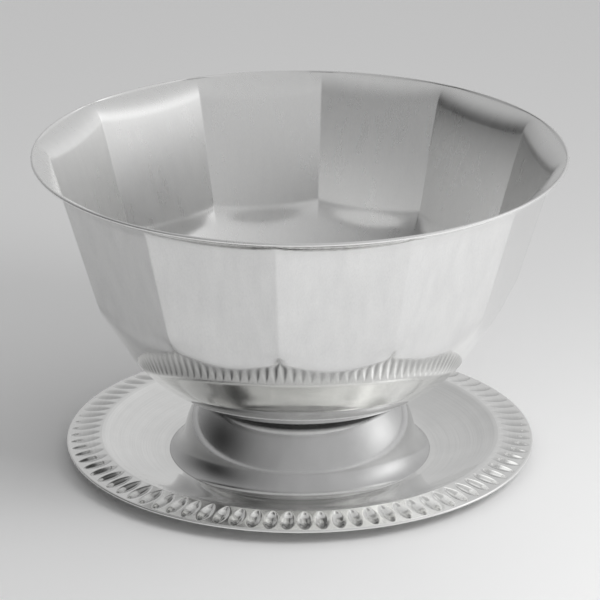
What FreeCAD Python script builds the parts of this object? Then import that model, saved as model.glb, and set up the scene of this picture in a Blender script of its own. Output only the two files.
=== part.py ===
"""Footed punch bowl in stainless sheet: a twelve-panel bowl, a flared pedestal and a gadroon-bordered base pan.

Millimetres, +Z up. The origin is the centre of the flat ring that the base pan rests on.
The bowl carries a welded stud that clamps bowl, pedestal and base pan together from below.
"""
import FreeCAD, Part
import math
import os

V = FreeCAD.Vector
UP = V(0, 0, 1)

# ---- driving dimensions ----
SHEET = 1.0                      # wall of the bowl and the base pan
PANELS = 12

RIM_RADIUS = 190.0               # outside of the rolled rim
RIM_TOP = 228.0
RIM_BEAD_RADIUS = 1.2            # the rim's edge is hemmed to a small round bead
FLANGE_ANGLE = 24.7              # the flange rises outward at this angle
FLANGE_INNER_RADIUS = 150.0      # well inside the panels, trimmed by them

PANEL_TOP_RADIUS = 181.2         # radius of the panel corners under the flange
PANEL_TOP_Z = 223.0
CREASE_RADIUS = 155.9            # radius of the panel corners at the crease
CREASE_Z = 137.5
PANEL_CORNER_RADIUS = 5.0        # bend between two panels

BOWL_BOTTOM_Z = 47.9             # underside of the bowl
BOWL_ARC_RADIUS = 95.0           # lower bowl, in section
BOWL_WALL_ANGLE = 31.0           # lower bowl above that arc, from vertical
BOWL_ARC_END_RADIUS = 129.8      # where the arc turns into the straight wall

PEDESTAL_SHEET = 1.2
PEDESTAL_SEAT_INNER = 24.0       # the seat under the bowl is a flat ring with an open centre
PEDESTAL_SEAT_OUTER = 66.0
PEDESTAL_SHOULDER = 4.0          # round turn from the seat into the wall
PEDESTAL_NECK = (84.0, 14.2)     # radius and height where the wall turns out into the foot
PEDESTAL_WALL_BULGE = 2.7        # the wall above the neck bows outward
PEDESTAL_FLARE_BULGE = 2.5       # the flare below the neck bows inward
PEDESTAL_FOOT_RADIUS = 94.7

PAN_BOSS_RADIUS = 24.0           # raised centre, which leaves room for the nut
PAN_BOSS_TOP = 10.0
PAN_REST_INNER = 40.0            # flat ring that the whole object stands on
PAN_REST_OUTER = 98.0
PAN_WALL_SAG = 1.5               # the pan's wall hangs below a straight line by this much
PAN_BORDER_INNER = 143.5
PAN_BORDER_INNER_Z = 14.6
PAN_RADIUS = 169.2
PAN_EDGE_Z = 11.2
PAN_EDGE_ROUND = 1.3
PAN_LIP_BOTTOM = 9.4             # the outer edge is turned down to here

STUD_RADIUS = 3.0                # M6 stud, at its outer diameter
STUD_HOLE_RADIUS = 3.3
STUD_PLATE_RADIUS = 22.0
STUD_PLATE_THICKNESS = 1.5
STUD_END_Z = 2.6
STUD_CHAMFER = 0.6
THREAD_CLEARANCE = 0.05

WASHER_RADIUS = 12.0
WASHER_THICKNESS = 1.2
LOCK_WASHER_RADIUS = 5.5
LOCK_WASHER_THICKNESS = 1.4
LOCK_WASHER_SPLIT = 1.0
NUT_ACROSS_FLATS = 10.0
NUT_THICKNESS = 3.2

TRIM = 20.0                      # cutting shapes run past the metal by this much


def revolve(face):
    """Turn a face in the XZ plane once around the Z axis."""
    return face.revolve(V(0, 0, 0), UP, 360)


def section(points):
    """Straight-sided face from (radius, height) corners."""
    corners = [V(r, 0, z) for r, z in points]
    return Part.Face(Part.makePolygon(corners + corners[:1]))


def disc(radius, thickness, bottom, hole_radius):
    """Flat round plate with a centre hole."""
    plate = Part.makeCylinder(radius, thickness, V(0, 0, bottom))
    return plate.cut(Part.makeCylinder(hole_radius, thickness, V(0, 0, bottom)))


def line(start, end):
    return Part.LineSegment(V(start[0], 0, start[1]), V(end[0], 0, end[1])).toShape()


def arc(start, middle, end):
    return Part.Arc(*[V(r, 0, z) for r, z in (start, middle, end)]).toShape()


def flange_height(radius):
    """Height of the flange's upper surface."""
    return RIM_TOP - (RIM_RADIUS - radius) * math.tan(math.radians(FLANGE_ANGLE))


def panel_frustum(inset):
    """Twelve-sided taper that the panels lie on, moved inward by inset."""
    slope = (PANEL_TOP_RADIUS - CREASE_RADIUS) / (PANEL_TOP_Z - CREASE_Z)
    corner_inset = inset / math.cos(math.pi / PANELS) * math.hypot(1, slope)
    wires = []
    for z in (BOWL_BOTTOM_Z - TRIM, RIM_TOP + TRIM):
        radius = CREASE_RADIUS + (z - CREASE_Z) * slope - corner_inset
        angles = [2 * math.pi * k / PANELS for k in range(PANELS)]
        corners = [V(radius * math.cos(a), radius * math.sin(a), z) for a in angles]
        wires.append(Part.makePolygon(corners + corners[:1]))
    frustum = Part.makeLoft(wires, True, True)
    upright = [e for e in frustum.Edges if e.BoundBox.ZLength > TRIM]
    return frustum.makeFillet(PANEL_CORNER_RADIUS - inset, upright)


def round_body(inset, top_points):
    """Round lower bowl as a full solid, moved inward by inset and closed by top_points."""
    angle = math.radians(BOWL_WALL_ANGLE)
    centre = (BOWL_ARC_END_RADIUS - BOWL_ARC_RADIUS * math.cos(angle), BOWL_BOTTOM_Z + BOWL_ARC_RADIUS)
    radius = BOWL_ARC_RADIUS - inset

    def on_arc(a):
        return (centre[0] + radius * math.cos(a), centre[1] - radius * math.sin(a))

    start = on_arc(math.pi / 2)
    end = on_arc(angle)
    wall_rise = RIM_TOP + TRIM - end[1]
    wall_top = (end[0] + wall_rise * math.tan(angle), end[1] + wall_rise)
    edges = [
        line((0, start[1]), start),
        arc(start, on_arc((angle + math.pi / 2) / 2), end),
        line(end, wall_top),
    ]
    corners = [wall_top] + top_points + [(0, start[1])]
    edges += [line(a, b) for a, b in zip(corners, corners[1:])]
    return revolve(Part.Face(Part.Wire(edges)))


def make_bowl():
    wide = RIM_RADIUS + 2 * TRIM
    outer = round_body(0, [(wide, flange_height(wide)), (0, flange_height(0))])
    outer = outer.common(panel_frustum(0))
    drop = SHEET / math.cos(math.radians(FLANGE_ANGLE))
    flange_end = RIM_RADIUS - RIM_BEAD_RADIUS
    flange = revolve(section([
        (FLANGE_INNER_RADIUS, flange_height(FLANGE_INNER_RADIUS)),
        (flange_end, flange_height(flange_end)),
        (flange_end, flange_height(flange_end) - drop),
        (FLANGE_INNER_RADIUS, flange_height(FLANGE_INNER_RADIUS) - drop),
    ]))
    bead = Part.makeTorus(flange_end, RIM_BEAD_RADIUS, V(0, 0, RIM_TOP - RIM_BEAD_RADIUS))
    hollow = round_body(SHEET, [(0, RIM_TOP + TRIM)]).common(panel_frustum(SHEET))
    return outer.fuse([flange, bead]).cut(hollow).removeSplitter()


def turned_sheet(edges, thickness):
    """Sheet metal of revolution: the edges are its upper skin from the axis outward."""
    skin = Part.Wire(edges)
    return revolve(skin.makeOffset2D(thickness, 0, True, True))


def bowed(start, end, bulge):
    """Arc from start to end whose middle stands off the chord, to the left of the way along it."""
    run = end[0] - start[0]
    rise = end[1] - start[1]
    length = math.hypot(run, rise)
    middle = ((start[0] + end[0]) / 2 - bulge * rise / length,
              (start[1] + end[1]) / 2 + bulge * run / length)
    return arc(start, middle, end)


def make_pedestal():
    """Flared collar with a flat seat that the bowl sits on."""
    top = BOWL_BOTTOM_Z
    centre = (PEDESTAL_SEAT_OUTER, top - PEDESTAL_SHOULDER)
    diagonal = PEDESTAL_SHOULDER * math.sqrt(0.5)
    shoulder_end = (centre[0] + PEDESTAL_SHOULDER, centre[1])
    collar = turned_sheet([
        line((PEDESTAL_SEAT_INNER, top), (PEDESTAL_SEAT_OUTER, top)),
        arc((PEDESTAL_SEAT_OUTER, top), (centre[0] + diagonal, centre[1] + diagonal), shoulder_end),
        bowed(shoulder_end, PEDESTAL_NECK, PEDESTAL_WALL_BULGE),
        bowed(PEDESTAL_NECK, (PEDESTAL_FOOT_RADIUS, SHEET), -PEDESTAL_FLARE_BULGE),
    ], -PEDESTAL_SHEET)
    below_foot = Part.makeCylinder(RIM_RADIUS, RIM_RADIUS, V(0, 0, SHEET - RIM_RADIUS))
    return collar.cut(below_foot)


def make_base_pan():
    """Dished pan: raised centre, flat ring to stand on, rising wall and a wide border with a turned-down edge."""
    round_start = (PAN_RADIUS - PAN_EDGE_ROUND, PAN_EDGE_Z)
    diagonal = PAN_EDGE_ROUND * math.sqrt(0.5)
    round_middle = (round_start[0] + diagonal, PAN_EDGE_Z - PAN_EDGE_ROUND + diagonal)
    round_end = (PAN_RADIUS, PAN_EDGE_Z - PAN_EDGE_ROUND)
    border_inner = (PAN_BORDER_INNER, PAN_BORDER_INNER_Z)
    return turned_sheet([
        line((STUD_HOLE_RADIUS, PAN_BOSS_TOP), (PAN_BOSS_RADIUS, PAN_BOSS_TOP)),
        line((PAN_BOSS_RADIUS, PAN_BOSS_TOP), (PAN_REST_INNER, SHEET)),
        line((PAN_REST_INNER, SHEET), (PAN_REST_OUTER, SHEET)),
        bowed((PAN_REST_OUTER, SHEET), border_inner, -PAN_WALL_SAG),
        line(border_inner, round_start),
        arc(round_start, round_middle, round_end),
        line(round_end, (PAN_RADIUS, PAN_LIP_BOTTOM)),
    ], -SHEET)


def make_stud_plate():
    """Disc welded under the bowl, which spreads the pull of the stud."""
    return Part.makeCylinder(STUD_PLATE_RADIUS, STUD_PLATE_THICKNESS,
                             V(0, 0, BOWL_BOTTOM_Z - STUD_PLATE_THICKNESS))


def make_stud():
    top = BOWL_BOTTOM_Z - STUD_PLATE_THICKNESS
    shank = STUD_RADIUS - STUD_CHAMFER
    return revolve(section([
        (0, top),
        (STUD_RADIUS, top),
        (STUD_RADIUS, STUD_END_Z + STUD_CHAMFER),
        (shank, STUD_END_Z),
        (0, STUD_END_Z),
    ]))


def fastener_stack():
    """Undersides of the washer, lock washer and nut, from the pan downward."""
    washer = PAN_BOSS_TOP - SHEET - WASHER_THICKNESS
    lock_washer = washer - LOCK_WASHER_THICKNESS
    return washer, lock_washer, lock_washer - NUT_THICKNESS


def make_lock_washer(bottom):
    """Spring washer with its split."""
    ring = disc(LOCK_WASHER_RADIUS, LOCK_WASHER_THICKNESS, bottom, STUD_HOLE_RADIUS)
    split = Part.makeBox(LOCK_WASHER_RADIUS, LOCK_WASHER_SPLIT, LOCK_WASHER_THICKNESS,
                         V(0, -LOCK_WASHER_SPLIT / 2, bottom))
    return ring.cut(split)


def make_nut(bottom):
    """Thin hexagon nut."""
    corner = NUT_ACROSS_FLATS / 2 / math.cos(math.pi / 6)
    corners = [V(corner * math.cos(k * math.pi / 3), corner * math.sin(k * math.pi / 3), bottom)
               for k in range(6)]
    body = Part.Face(Part.makePolygon(corners + corners[:1])).extrude(V(0, 0, NUT_THICKNESS))
    bore = Part.makeCylinder(STUD_RADIUS + THREAD_CLEARANCE, NUT_THICKNESS, V(0, 0, bottom))
    return body.cut(bore)


def main():
    os.makedirs("parts", exist_ok=True)
    washer_z, lock_washer_z, nut_z = fastener_stack()
    nodes = {
        "bowl": make_bowl(),
        "stud_plate": make_stud_plate(),
        "bowl_stud": make_stud(),
        "pedestal": make_pedestal(),
        "base_pan": make_base_pan(),
        "fender_washer": disc(WASHER_RADIUS, WASHER_THICKNESS, washer_z, STUD_HOLE_RADIUS),
        "lock_washer": make_lock_washer(lock_washer_z),
        "hex_nut": make_nut(nut_z),
    }
    for name, shape in nodes.items():
        solid = shape.Solids[0]
        box = solid.optimalBoundingBox()
        print(f"{name}: {len(shape.Solids)} solid, valid {shape.isValid()}, {solid.Volume:.0f} mm3, "
              f"radius {box.XMax:.1f}, height {box.ZMin:.2f} to {box.ZMax:.2f}")
        solid.exportStep(f"parts/{name}.step")


main()
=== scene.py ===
import bpy
import math
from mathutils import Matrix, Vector


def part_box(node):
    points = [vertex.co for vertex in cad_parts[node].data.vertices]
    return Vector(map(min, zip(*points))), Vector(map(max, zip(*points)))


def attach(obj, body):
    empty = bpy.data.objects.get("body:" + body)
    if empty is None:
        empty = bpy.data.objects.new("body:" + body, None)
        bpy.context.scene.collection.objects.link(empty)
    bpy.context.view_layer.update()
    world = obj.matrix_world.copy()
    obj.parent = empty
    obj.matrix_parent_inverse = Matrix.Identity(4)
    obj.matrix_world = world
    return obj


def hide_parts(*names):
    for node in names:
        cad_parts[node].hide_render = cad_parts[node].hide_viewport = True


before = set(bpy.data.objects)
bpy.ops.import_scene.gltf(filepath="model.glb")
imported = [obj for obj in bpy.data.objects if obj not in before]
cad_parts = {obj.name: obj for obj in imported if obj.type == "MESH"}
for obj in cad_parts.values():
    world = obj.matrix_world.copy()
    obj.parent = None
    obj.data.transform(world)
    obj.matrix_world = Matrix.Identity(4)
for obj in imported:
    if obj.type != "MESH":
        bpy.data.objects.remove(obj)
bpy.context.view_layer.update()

BOWL_LOW, BOWL_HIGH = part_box("bowl")
PAN_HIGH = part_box("base_pan")[1]
PEDESTAL_LOW, PEDESTAL_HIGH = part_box("pedestal")

# ---- bowl ----
PANELS = 12
SHEET = 0.001
RIM_RADIUS = BOWL_HIGH.x
RIM_TOP = BOWL_HIGH.z
BEAD_RADIUS = 0.0012
BEAD_TURN = math.radians(125)    # the rolled rim goes this far round on each side of outward
FLANGE_SLOPE = math.tan(math.radians(24.7))
PANEL_TOP_RADIUS = 0.1812        # panel corners under the flange
PANEL_TOP_Z = 0.2230
CREASE_RADIUS = 0.1559           # panel corners at the crease
CREASE_Z = 0.1375
CREASE_FINE = (0.1240, 0.1400)   # rows are closest together between these heights, where the crease runs
FACET_START_Z = 0.1215           # the round bottom turns twelve-sided from here up to the crease
FACET_END_Z = 0.1350
FACET_SHARE = 0.80               # how far it has turned at the upper height
ROUND_HEIGHT = 0.035             # below this, above the bottom, the bowl is plainly round
PANEL_SLOPE = (PANEL_TOP_RADIUS - CREASE_RADIUS) / (PANEL_TOP_Z - CREASE_Z)
CORNER_ROUND = 0.0034            # bend between two panels
CREASE_SOFT = 0.0005             # radius over which panel and round bowl merge
CREASE_GROOVE = 0.00025          # the press leaves a faint line along the crease
CREASE_GROOVE_WIDTH = 0.0006
FOLD_SOFT = 0.009                # reach of the bend between panel and flange
PANEL_FADE = 0.004               # distance over which the panels' satin finish fades out
PANEL_FADE_HEIGHT = 0.060        # above the bottom; lower than this there is no satin
# columns of the mesh, in degrees from a panel corner: close together where the sheet bends
CORNER_COLUMNS = (0.0, 0.1, 0.2, 0.32, 0.48, 0.7, 1.0, 1.5, 2.3, 3.6, 5.5, 8.0, 11.3)
BOTTOM_Z = BOWL_LOW.z
BOWL_ARC = 0.088
WALL_ANGLE = math.radians(31.8)
ARC_END_RADIUS = 0.1270

# ---- pedestal ----
PEDESTAL_SHEET = 0.0012
JOINT_PAINTED_SHADE = (0.0425, 0.0455)    # heights over which a painted shade turns the pedestal near black at its top, in the joint under the bowl
SEAT_INNER = 0.024
SEAT_OUTER = 0.066
SHOULDER = 0.004
NECK = (0.0837, 0.0155)
SHOULDER_LEAN = math.radians(40)
NECK_LEAN = math.radians(11)
FOOT_LEAN = math.radians(70)
CURVE_PULL = 0.36                # reach of each end's lean, as a share of the curve's chord
FOOT_RADIUS = PEDESTAL_HIGH.x

# ---- base pan ----
HOLE_RADIUS = 0.0033
BOSS_RADIUS = 0.024
BOSS_TOP = 0.010
REST_INNER = 0.040
REST_OUTER = 0.098
WALL_SAG = 0.0018
BORDER_INNER = 0.1435
BORDER_INNER_Z = PAN_HIGH.z
PAN_RADIUS = PAN_HIGH.x
EDGE_Z = 0.0112
EDGE_ROUND = 0.0013
LIP_BOTTOM = 0.0094
FLUTES = 84
FLUTE_INNER = 0.1450
FLUTE_OUTER = 0.1672
FLUTE_DEPTH = 0.0020
FLUTE_HALF_WIDTH = 0.47          # of one flute's pitch, in the middle of the dent
FLUTE_POINT = 0.7                # smaller numbers give blunter ends
FLUTE_FLOOR = 0.6                # smaller numbers keep the depth up nearer the ends
DENT_PAINTED_SHADE = 0.42                 # painted shade: how much darker the colour is at the bottom of a dent

# ---- stage ----
FLOOR_REACH = 6.0
FLOOR_SHADE = 0.93
LAMP_PLACE = (0.75, -0.45, 0.80)
LAMP_TARGET = (0.35, -0.35, 0.0)
LAMP_SIZE = (0.5, 0.5)
LAMP_POWER = 5.5
WORLD_LEVEL = 0.53
WORLD_TILT = (0.22, 0.05, 0.0)
# soft patches of the surround: direction, how tightly gathered, and how much brighter or darker
WORLD_PATCHES = (
    ((-0.96, -0.10, 0.26), 5.0, -0.26),
    ((0.94, 0.17, 0.29), 14.0, 0.62),
)
GLOSSY_BOUNCES = 10              # light between the bowl and the base pan takes five
CAMERA_TARGET = (0.0, 0.0, 0.1157)
CAMERA_DISTANCE = 2.66
CAMERA_ELEVATION = math.radians(21.09)
CAMERA_AZIMUTH = math.radians(-84.8)
CAMERA_LENS = 222.5
CAMERA_SHIFT = (0.0003, -0.0009)


# ---------------------------------------------------------------- mesh making
def arc_points(centre, radius, start, end, count):
    """(radius, height) points on a circle, angles measured from +radius towards +height."""
    steps = [start + (end - start) * k / count for k in range(count + 1)]
    return [(centre[0] + radius * math.cos(a), centre[1] + radius * math.sin(a)) for a in steps]


def straight(start, end, count):
    return [(start[0] + (end[0] - start[0]) * k / count, start[1] + (end[1] - start[1]) * k / count)
            for k in range(count + 1)]


def bowed(start, end, bulge, count):
    """Shallow arc from start to end that stands off the chord, to the left of the way along it."""
    run = end[0] - start[0]
    rise = end[1] - start[1]
    points = []
    for k in range(count + 1):
        t = k / count
        off = bulge * 4 * t * (1 - t) / math.hypot(run, rise)
        points.append((start[0] + run * t - rise * off, start[1] + rise * t + run * off))
    return points


def chain(*runs):
    """Joins runs of points and drops the ones that repeat."""
    points = []
    for run in runs:
        for p in run:
            if not points or math.dist(p, points[-1]) > 1e-7:
                points.append(p)
    return points


def offset(points, distance):
    """Parallel line to the left of a run of points."""
    moved = []
    for k, p in enumerate(points):
        before = points[max(k - 1, 0)]
        after = points[min(k + 1, len(points) - 1)]
        length = math.dist(before, after)
        run = (after[0] - before[0]) / length
        rise = (after[1] - before[1]) / length
        moved.append((p[0] - rise * distance, p[1] + run * distance))
    return moved


def even_angles(count):
    return [2 * math.pi * k / count for k in range(count)]


def ring_mesh(name, rows, angles, wrap):
    """Closed skin from rows of rings. A row is a function of the angle that gives (radius, height).

    With wrap, the last row joins the first; without it, each end is closed at the axis. The faces are made
    facing into the metal, so they are turned over at the end.
    """
    columns = len(angles)
    points = []
    for row in rows:
        for a in angles:
            r, z = row(a)
            points.append((r * math.cos(a), r * math.sin(a), z))
    faces = []
    pairs = [(k, k + 1) for k in range(len(rows) - 1)]
    if wrap:
        pairs.append((len(rows) - 1, 0))
    for low, high in pairs:
        for j in range(columns):
            n = (j + 1) % columns
            faces.append((low * columns + j, low * columns + n, high * columns + n, high * columns + j))
    if not wrap:
        for k, row in ((0, rows[0]), (len(rows) - 1, rows[-1])):
            centre = len(points)
            points.append((0.0, 0.0, row(0.0)[1]))
            for j in range(columns):
                a, b = k * columns + j, k * columns + (j + 1) % columns
                faces.append((centre, b, a) if k == 0 else (centre, a, b))
    mesh = bpy.data.meshes.new(name)
    mesh.from_pydata(points, [], faces)
    mesh.flip_normals()
    mesh.shade_smooth()
    mesh.update()
    piece = bpy.data.objects.new(name, mesh)
    bpy.context.scene.collection.objects.link(piece)
    return piece


def store_values(piece, name, values):
    """Keeps one number per point on the mesh, for the materials to read."""
    layer = piece.data.attributes.new(name, "FLOAT", "POINT")
    layer.data.foreach_set("value", values)


# ---------------------------------------------------------------- bowl
def soft_min(a, b, width):
    mix = max(0.0, min(1.0, 0.5 + 0.5 * (b - a) / width))
    return b * (1 - mix) + a * mix - width * mix * (1 - mix)


def panel_radius(angle, z, inset):
    """Distance from the axis to the twelve-sided taper with rounded corners."""
    half = math.pi / PANELS
    corner = CREASE_RADIUS + (z - CREASE_Z) * PANEL_SLOPE
    flat = corner * math.cos(half) - inset * math.hypot(1, PANEL_SLOPE)
    bend = CORNER_ROUND - inset
    along = abs((angle % (2 * half)) - half)
    centre = (flat - bend) / math.cos(half)
    if along <= math.atan2(centre * math.sin(half), flat):
        return flat / math.cos(along)
    turn = half - along
    return centre * math.cos(turn) + math.sqrt(bend ** 2 - (centre * math.sin(turn)) ** 2)


def facet_share(z):
    """How far the lower bowl has turned from round to twelve-sided at this height."""
    t = max(0.0, min(1.0, (z - FACET_START_Z) / (FACET_END_Z - FACET_START_Z)))
    return FACET_SHARE * t * t * (3 - 2 * t)


def round_points(inset):
    """Section of the round lower bowl: from the axis out and up to the flange's height."""
    centre = (ARC_END_RADIUS - BOWL_ARC * math.cos(WALL_ANGLE), BOTTOM_Z + BOWL_ARC)
    bottom = [(centre[0] * k / 5, BOTTOM_Z + inset) for k in range(1, 5)]
    bend = arc_points(centre, BOWL_ARC - inset, -math.pi / 2, -WALL_ANGLE, 40)
    end = bend[-1]

    def up_to(z):
        return (end[0] + (z - end[1]) * math.tan(WALL_ANGLE), z)

    low, high = CREASE_FINE
    return chain(bottom, bend, straight(end, up_to(low), 20), straight(up_to(low), up_to(high), 24))


def flange_height(radius, inset):
    lift = 0 if inset else -SHEET / math.cos(math.atan(FLANGE_SLOPE))
    return RIM_TOP - (RIM_RADIUS - radius) * FLANGE_SLOPE + lift


def fold_point(angle, inset):
    """Where a panel's line meets the flange's line at this angle."""
    z = PANEL_TOP_Z
    for _ in range(6):
        z = flange_height(panel_radius(angle, z, inset), inset)
    return panel_radius(angle, z, inset), z


def bowl_rows(inset, fold_steps=16, flange_steps=5):
    """Rings of one skin, from the centre of the bottom to the rim's bead."""
    rows = []
    section = round_points(inset)

    def wall_row(r, z):
        if z < BOTTOM_Z + ROUND_HEIGHT:
            return lambda a: (r, z)

        def place(a):
            panel = panel_radius(a, z, inset)
            body = r * (1 - facet_share(z) * (1 - panel / panel_radius(0.0, z, inset)))
            groove = CREASE_GROOVE * math.exp(-((panel - body) / CREASE_GROOVE_WIDTH) ** 2)
            return soft_min(panel, body, CREASE_SOFT) - groove, z
        return place

    rows += [wall_row(r, z) for r, z in section]
    top_z = section[-1][1]
    folds = {}

    def fold_row(t):
        def place(a):
            key = round(a, 9)
            if key not in folds:
                folds[key] = fold_point(a, inset)
            r, z = folds[key]
            start_z = max(top_z + 0.0005, z - FOLD_SOFT)
            start = (panel_radius(a, start_z, inset), start_z)
            end_r = min(r + FOLD_SOFT, RIM_RADIUS - 2 * BEAD_RADIUS)
            end = (end_r, flange_height(end_r, inset))
            u = 1 - t
            return tuple(u * u * start[i] + 2 * u * t * (r, z)[i] + t * t * end[i] for i in (0, 1))
        return place

    def panel_row(share):
        def place(a):
            low = fold_row(0.0)(a)
            z = top_z + (low[1] - top_z) * share
            return panel_radius(a, z, inset), z
        return place

    def flange_row(share):
        def place(a):
            start = fold_row(1.0)(a)
            r = start[0] + (RIM_RADIUS - BEAD_RADIUS - start[0]) * share
            return r, flange_height(r, inset)
        return place

    rows += [panel_row(k / 12) for k in range(1, 12)]
    rows += [fold_row(k / fold_steps) for k in range(fold_steps + 1)]
    rows += [flange_row(k / flange_steps) for k in range(1, flange_steps)]
    return rows


def bowl_angles():
    middle = 180 / PANELS
    half = CORNER_COLUMNS + (middle,)
    steps = sorted(set(half) | {2 * middle - d for d in half[1:]})
    return [math.radians(2 * middle * panel + d) for panel in range(PANELS) for d in steps]


def make_bowl():
    inside = bowl_rows(SHEET)
    outside = bowl_rows(0.0)
    bead_centre = (RIM_RADIUS - BEAD_RADIUS, RIM_TOP - BEAD_RADIUS)
    bead = arc_points(bead_centre, BEAD_RADIUS, BEAD_TURN, -BEAD_TURN, 14)
    rows = inside + [lambda a, p=p: p for p in bead] + outside[::-1]
    angles = bowl_angles()
    columns = len(angles)
    piece = ring_mesh("bowl_sheet", rows, angles, wrap=False)
    inner_faces = (len(inside) + len(bead) // 2) * columns
    piece.data.materials.append(MATERIALS["bowl_inside"])
    piece.data.materials.append(MATERIALS["bowl_outside"])
    total = len(piece.data.polygons)
    slots = [0 if k < inner_faces or total - 2 * columns <= k < total - columns else 1 for k in range(total)]
    piece.data.polygons.foreach_set("material_index", slots)
    mark_panels(piece)
    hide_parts("bowl")
    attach(piece, "root")


def mark_panels(piece):
    """Stores where the satin finish is: 1 on a flat panel, 0 on the round bottom and the flange."""
    values = []
    for vertex in piece.data.vertices:
        x, y, z = vertex.co
        r = math.hypot(x, y)
        angle = math.atan2(y, x) % (2 * math.pi)
        gap = r - panel_radius(angle, z, 0.0)
        near = 1 - min(1.0, abs(gap + SHEET * 0.5) / PANEL_FADE)
        low = min(1.0, max(0.0, (z - BOTTOM_Z - PANEL_FADE_HEIGHT) / PANEL_FADE))
        values.append(max(0.0, near) * low)
    store_values(piece, "panel", values)


# ---------------------------------------------------------------- pedestal
def leaning_curve(start, start_lean, end, end_lean, count):
    """Smooth line downward between two points; the leans are its angles from vertical, outward."""
    reach = math.dist(start, end) * CURVE_PULL
    pull_a = (start[0] + reach * math.sin(start_lean), start[1] - reach * math.cos(start_lean))
    pull_b = (end[0] - reach * math.sin(end_lean), end[1] + reach * math.cos(end_lean))
    points = []
    for k in range(count + 1):
        t = k / count
        weights = ((1 - t) ** 3, 3 * t * (1 - t) ** 2, 3 * t * t * (1 - t), t ** 3)
        corners = (start, pull_a, pull_b, end)
        points.append(tuple(sum(w * c[i] for w, c in zip(weights, corners)) for i in (0, 1)))
    return points


def make_pedestal():
    top = PEDESTAL_HIGH.z
    shoulder = (SEAT_OUTER, top - SHOULDER)
    skin = chain(
        straight((SEAT_INNER, top), (SEAT_OUTER, top), 6),
        arc_points(shoulder, SHOULDER, math.pi / 2, SHOULDER_LEAN, 12),
    )
    skin = chain(
        skin,
        leaning_curve(skin[-1], SHOULDER_LEAN, NECK, NECK_LEAN, 40),
        leaning_curve(NECK, NECK_LEAN, (FOOT_RADIUS, PEDESTAL_LOW.z), FOOT_LEAN, 40),
    )
    loop = skin + offset(skin, -PEDESTAL_SHEET)[::-1]
    loop = [(r, max(z, PEDESTAL_LOW.z)) for r, z in loop]
    piece = ring_mesh("pedestal_collar", [lambda a, p=p: p for p in loop], even_angles(360), wrap=True)
    piece.data.materials.append(MATERIALS["pedestal"])
    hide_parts("pedestal")
    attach(piece, "root")


# ---------------------------------------------------------------- base pan
def flute_depth(angle, radius):
    """Pressed oval dents, pointed at both ends, with narrow ridges between them that fan out."""
    middle = (FLUTE_INNER + FLUTE_OUTER) / 2
    reach = (FLUTE_OUTER - FLUTE_INNER) / 2
    along = (radius - middle) / reach
    if abs(along) >= 1:
        return 0.0
    taper = 1 - along * along
    across = (angle * FLUTES / (2 * math.pi)) % 1 - 0.5
    share = min(1.0, abs(across) / (FLUTE_HALF_WIDTH * taper ** FLUTE_POINT))
    return FLUTE_DEPTH * taper ** FLUTE_FLOOR * 0.5 * (1 + math.cos(math.pi * share))


def make_base_pan():
    border_inner = (BORDER_INNER, BORDER_INNER_Z)
    edge = (PAN_RADIUS - EDGE_ROUND, EDGE_Z)
    skin = chain(
        straight((HOLE_RADIUS, BOSS_TOP), (BOSS_RADIUS, BOSS_TOP), 2),
        straight((BOSS_RADIUS, BOSS_TOP), (REST_INNER, SHEET), 2),
        straight((REST_INNER, SHEET), (REST_OUTER, SHEET), 6),
        bowed((REST_OUTER, SHEET), border_inner, -WALL_SAG, 20),
        straight(border_inner, edge, 44),
        arc_points((edge[0], EDGE_Z - EDGE_ROUND), EDGE_ROUND, math.pi / 2, 0, 6),
        straight((PAN_RADIUS, EDGE_Z - EDGE_ROUND), (PAN_RADIUS, LIP_BOTTOM), 1),
    )
    loop = skin + offset(skin, -SHEET)[::-1]
    rows = [lambda a, p=p: (p[0], p[1] - flute_depth(a, p[0])) for p in loop]
    piece = ring_mesh("base_pan_sheet", rows, even_angles(FLUTES * 14), wrap=True)
    spots = [vertex.co for vertex in piece.data.vertices]
    depths = [flute_depth(math.atan2(spot.y, spot.x), math.hypot(spot.x, spot.y)) for spot in spots]
    # dent depth per point; the pan's colour reads it for a painted shade in the dents
    store_values(piece, "dent", [depth / FLUTE_DEPTH for depth in depths])
    piece.data.materials.append(MATERIALS["base_pan"])
    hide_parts("base_pan")
    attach(piece, "root")


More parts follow.
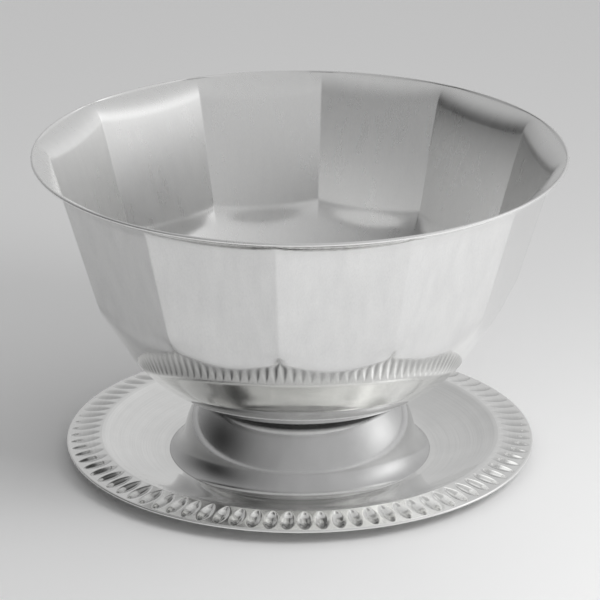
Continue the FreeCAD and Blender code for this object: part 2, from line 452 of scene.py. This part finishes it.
# ---------------------------------------------------------------- materials
class Nodes:
    """Small helper around a material's node tree."""

    def __init__(self, name):
        self.material = bpy.data.materials.new(name)
        self.material.use_nodes = True
        self.tree = self.material.node_tree
        self.shader = self.tree.nodes["Principled BSDF"]
        self.shader.inputs["Metallic"].default_value = 1.0

    def add(self, kind, **settings):
        node = self.tree.nodes.new(kind)
        for key, value in settings.items():
            setattr(node, key, value)
        return node

    def link(self, source, target):
        self.tree.links.new(source, target)

    def math(self, operation, a, b=0.0, c=0.0):
        node = self.add("ShaderNodeMath", operation=operation)
        for socket, value in zip(node.inputs, (a, b, c)):
            if isinstance(value, (int, float)):
                socket.default_value = value
            else:
                self.link(value, socket)
        return node.outputs[0]

    def noise(self, vector, scale, detail=2.0, roughness=0.5):
        node = self.add("ShaderNodeTexNoise")
        node.inputs["Scale"].default_value = scale
        node.inputs["Detail"].default_value = detail
        node.inputs["Roughness"].default_value = roughness
        self.link(vector, node.inputs["Vector"])
        return node.outputs["Fac"]

    def scaled_position(self, x, y, z):
        coordinates = self.add("ShaderNodeTexCoord")
        mapping = self.add("ShaderNodeMapping")
        mapping.inputs["Scale"].default_value = (x, y, z)
        self.link(coordinates.outputs["Object"], mapping.inputs["Vector"])
        return mapping.outputs["Vector"]

    def turned_position(self, across):
        """Position that changes fast with distance from the axis and slowly around it."""
        coordinates = self.add("ShaderNodeTexCoord")
        split = self.add("ShaderNodeSeparateXYZ")
        self.link(coordinates.outputs["Object"], split.inputs[0])
        squares = self.math("ADD", self.math("POWER", split.outputs[0], 2.0),
                            self.math("POWER", split.outputs[1], 2.0))
        radius = self.math("MULTIPLY", self.math("SQRT", squares), across)
        join = self.add("ShaderNodeCombineXYZ")
        self.link(radius, join.inputs[0])
        self.link(self.math("MULTIPLY", split.outputs[0], 12.0), join.inputs[1])
        self.link(self.math("MULTIPLY", split.outputs[1], 12.0), join.inputs[2])
        return join.outputs[0]

    def spread(self, value, low, high):
        """Maps the middle of a noise value to low..high."""
        node = self.add("ShaderNodeMapRange")
        node.inputs["From Min"].default_value = 0.3
        node.inputs["From Max"].default_value = 0.7
        for name, end in (("To Min", low), ("To Max", high)):
            if isinstance(end, (int, float)):
                node.inputs[name].default_value = end
            else:
                self.link(end, node.inputs[name])
        self.link(value, node.inputs["Value"])
        return node.outputs[0]

    def colour(self, value, dark, light):
        ramp = self.add("ShaderNodeMix", data_type="RGBA")
        ramp.inputs["A"].default_value = (*dark, 1.0)
        ramp.inputs["B"].default_value = (*light, 1.0)
        self.link(value, ramp.inputs["Factor"])
        self.link(ramp.outputs["Result"], self.shader.inputs["Base Color"])

    def bump(self, heights):
        """Stacks bumps, each (height, strength, distance)."""
        normal = None
        for height, strength, distance in heights:
            node = self.add("ShaderNodeBump")
            node.inputs["Strength"].default_value = strength
            node.inputs["Distance"].default_value = distance
            self.link(height, node.inputs["Height"])
            if normal:
                self.link(normal, node.inputs["Normal"])
            normal = node.outputs["Normal"]
        self.link(normal, self.shader.inputs["Normal"])

    def grain_along_height(self, amount):
        """Stretches highlights sideways, as vertical brushing does."""
        tangent = self.add("ShaderNodeTangent", direction_type="RADIAL", axis="Z")
        self.link(tangent.outputs[0], self.shader.inputs["Tangent"])
        self.shader.inputs["Anisotropic"].default_value = amount


def bowl_inside_steel():
    n = Nodes("bowl_inside_satin")
    fine = n.noise(n.scaled_position(1.0, 1.0, 0.01), 1400.0)
    broad = n.noise(n.scaled_position(1.0, 1.0, 0.03), 160.0, 3.0)
    haze = n.noise(n.scaled_position(1.0, 1.0, 0.6), 22.0, 4.0)
    n.colour(n.math("MULTIPLY", n.math("ADD", fine, broad), 0.5), (0.80, 0.80, 0.80), (0.94, 0.94, 0.93))
    uneven = n.math("MULTIPLY", n.math("ADD", broad, haze), 0.5)
    n.link(n.spread(uneven, 0.24, 0.34), n.shader.inputs["Roughness"])
    n.bump([(fine, 0.012, 0.0001)])
    n.grain_along_height(0.35)
    return n.material


def bowl_outside_steel():
    n = Nodes("bowl_outside_buffed")
    fine = n.noise(n.scaled_position(1.0, 1.0, 0.02), 1600.0)
    broad = n.noise(n.scaled_position(1.0, 1.0, 0.10), 120.0, 3.0)
    ripple = n.noise(n.scaled_position(1.0, 1.0, 1.0), 18.0, 1.0)
    panel = n.add("ShaderNodeAttribute", attribute_name="panel").outputs["Fac"]
    polish = n.math("MULTIPLY_ADD", n.math("ADD", fine, broad), 0.5, 0.25)
    n.colour(n.math("MULTIPLY_ADD", panel, -0.50, polish), (0.72, 0.72, 0.72), (0.99, 0.99, 0.98))
    satin = n.spread(broad, 0.13, 0.21)
    bright = n.spread(broad, 0.035, 0.075)
    mix = n.math("MULTIPLY_ADD", panel, n.math("SUBTRACT", satin, bright), bright)
    n.link(mix, n.shader.inputs["Roughness"])
    n.bump([(ripple, 0.04, 0.003), (fine, 0.05, 0.0001)])
    return n.material


def pedestal_steel():
    n = Nodes("pedestal_polish")
    turned = n.noise(n.scaled_position(0.03, 0.03, 1.0), 1500.0)
    haze = n.noise(n.scaled_position(1.0, 1.0, 0.7), 40.0, 4.0)
    height = n.add("ShaderNodeSeparateXYZ")
    n.link(n.scaled_position(1.0, 1.0, 1.0), height.inputs[0])
    # painted shade: the colour goes near black over the top few millimetres, where the bowl shades the joint
    joint_shade = n.add("ShaderNodeMapRange")
    joint_shade.inputs["From Min"].default_value = JOINT_PAINTED_SHADE[0]
    joint_shade.inputs["From Max"].default_value = JOINT_PAINTED_SHADE[1]
    n.link(height.outputs[2], joint_shade.inputs["Value"])
    shine = n.math("MULTIPLY_ADD", haze, 0.25, 0.60)
    n.colour(n.math("SUBTRACT", shine, joint_shade.outputs[0]), (0.06, 0.06, 0.06), (0.80, 0.80, 0.80))
    n.link(n.spread(haze, 0.09, 0.17), n.shader.inputs["Roughness"])
    n.bump([(turned, 0.04, 0.0001)])
    return n.material


def pan_steel():
    n = Nodes("pan_polish")
    turned = n.noise(n.turned_position(1800.0), 1.0)
    haze = n.noise(n.scaled_position(1.0, 1.0, 1.0), 30.0, 4.0)
    dent = n.add("ShaderNodeAttribute", attribute_name="dent").outputs["Fac"]
    shine = n.math("MULTIPLY_ADD", n.math("ADD", turned, haze), 0.3, 0.55)
    # painted shade: the colour darkens with the depth of each dent
    shine = n.math("SUBTRACT", shine, n.math("MULTIPLY", dent, DENT_PAINTED_SHADE))
    n.colour(shine, (0.40, 0.40, 0.40), (1.0, 1.0, 0.99))
    n.link(n.spread(haze, 0.06, 0.14), n.shader.inputs["Roughness"])
    n.bump([(haze, 0.04, 0.002), (turned, 0.05, 0.0001)])
    return n.material


def hardware_steel():
    n = Nodes("hardware_bright")
    turned = n.noise(n.turned_position(2600.0), 1.0)
    wear = n.noise(n.scaled_position(1.0, 1.0, 1.0), 180.0, 5.0)
    n.colour(wear, (0.50, 0.51, 0.52), (0.68, 0.68, 0.69))
    n.link(n.spread(wear, 0.22, 0.42), n.shader.inputs["Roughness"])
    n.bump([(turned, 0.10, 0.0001), (wear, 0.08, 0.0002)])
    return n.material


MATERIALS = {
    "bowl_inside": bowl_inside_steel(),
    "bowl_outside": bowl_outside_steel(),
    "pedestal": pedestal_steel(),
    "base_pan": pan_steel(),
    "hardware": hardware_steel(),
}


def dress_cad_nodes():
    """The hidden hardware keeps its CAD shape and gets real finishes."""
    finishes = {
        "stud_plate": "pedestal",
        "bowl_stud": "hardware",
        "fender_washer": "hardware",
        "lock_washer": "hardware",
        "hex_nut": "hardware",
    }
    for node, finish in finishes.items():
        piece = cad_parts[node]
        piece.data.materials.clear()
        piece.data.materials.append(MATERIALS[finish])


# ---------------------------------------------------------------- stage
def plane(name, corners, material):
    mesh = bpy.data.meshes.new(name)
    mesh.from_pydata(corners, [], [tuple(range(len(corners)))])
    mesh.materials.append(material)
    sheet = bpy.data.objects.new(name, mesh)
    bpy.context.scene.collection.objects.link(sheet)
    return sheet


def make_floor():
    material = bpy.data.materials.new("floor_paper")
    material.use_nodes = True
    shader = material.node_tree.nodes["Principled BSDF"]
    shader.inputs["Base Color"].default_value = (FLOOR_SHADE, FLOOR_SHADE, FLOOR_SHADE, 1.0)
    shader.inputs["Roughness"].default_value = 0.9
    signs = ((-1, -1), (1, -1), (1, 1), (-1, 1))
    corners = [(FLOOR_REACH * x, FLOOR_REACH * y, 0.0) for x, y in signs]
    plane("studio_floor", corners, material)


def world_math(tree, operation, *values):
    node = tree.nodes.new("ShaderNodeMath")
    node.operation = operation
    for socket, value in zip(node.inputs, values):
        if isinstance(value, float):
            socket.default_value = value
        else:
            tree.links.new(value, socket)
    return node.outputs[0]


def make_world():
    """Soft surround, brighter to the right and behind, with a dark patch at left and a bright one at right."""
    world = bpy.data.worlds.new("studio_surround")
    bpy.context.scene.world = world
    world.use_nodes = True
    tree = world.node_tree
    background = tree.nodes["Background"]
    background.inputs["Color"].default_value = (1.0, 1.0, 1.0, 1.0)
    coordinates = tree.nodes.new("ShaderNodeTexCoord")
    split = tree.nodes.new("ShaderNodeSeparateXYZ")
    tree.links.new(coordinates.outputs["Generated"], split.inputs[0])
    gradient = WORLD_LEVEL
    for axis, weight in enumerate(WORLD_TILT):
        gradient = world_math(tree, "MULTIPLY_ADD", split.outputs[axis], weight, gradient)
    for direction, gather, amount in WORLD_PATCHES:
        toward = tree.nodes.new("ShaderNodeVectorMath")
        toward.operation = "DOT_PRODUCT"
        tree.links.new(coordinates.outputs["Generated"], toward.inputs[0])
        toward.inputs[1].default_value = direction
        patch = world_math(tree, "MAXIMUM", toward.outputs["Value"], 0.0)
        patch = world_math(tree, "POWER", patch, gather)
        gradient = world_math(tree, "MULTIPLY_ADD", patch, amount, gradient)
    tree.links.new(gradient, background.inputs["Strength"])


def aim(thing, place, target):
    thing.location = place
    thing.rotation_euler = (Vector(target) - Vector(place)).to_track_quat("-Z", "Y").to_euler()


def area_light(name, place, target, size, power):
    data = bpy.data.lights.new(name, "AREA")
    data.shape = "RECTANGLE"
    data.size, data.size_y = size
    data.energy = power
    lamp = bpy.data.objects.new(name, data)
    bpy.context.scene.collection.objects.link(lamp)
    aim(lamp, place, target)
    return lamp


def make_camera():
    data = bpy.data.cameras.new("product_camera")
    data.sensor_width = 36.0
    data.lens = CAMERA_LENS
    data.shift_x, data.shift_y = CAMERA_SHIFT
    camera = bpy.data.objects.new("product_camera", data)
    bpy.context.scene.collection.objects.link(camera)
    flat = CAMERA_DISTANCE * math.cos(CAMERA_ELEVATION)
    place = (
        CAMERA_TARGET[0] + flat * math.cos(CAMERA_AZIMUTH),
        CAMERA_TARGET[1] + flat * math.sin(CAMERA_AZIMUTH),
        CAMERA_TARGET[2] + CAMERA_DISTANCE * math.sin(CAMERA_ELEVATION),
    )
    aim(camera, place, CAMERA_TARGET)
    bpy.context.scene.camera = camera


make_bowl()
make_pedestal()
make_base_pan()
dress_cad_nodes()
make_floor()
make_world()
floor_lamp = area_light("floor_softbox", LAMP_PLACE, LAMP_TARGET, LAMP_SIZE, LAMP_POWER)
floor_lamp.visible_glossy = False
make_camera()
bpy.context.scene.view_settings.view_transform = "Standard"
bpy.context.scene.cycles.glossy_bounces = GLOSSY_BOUNCES
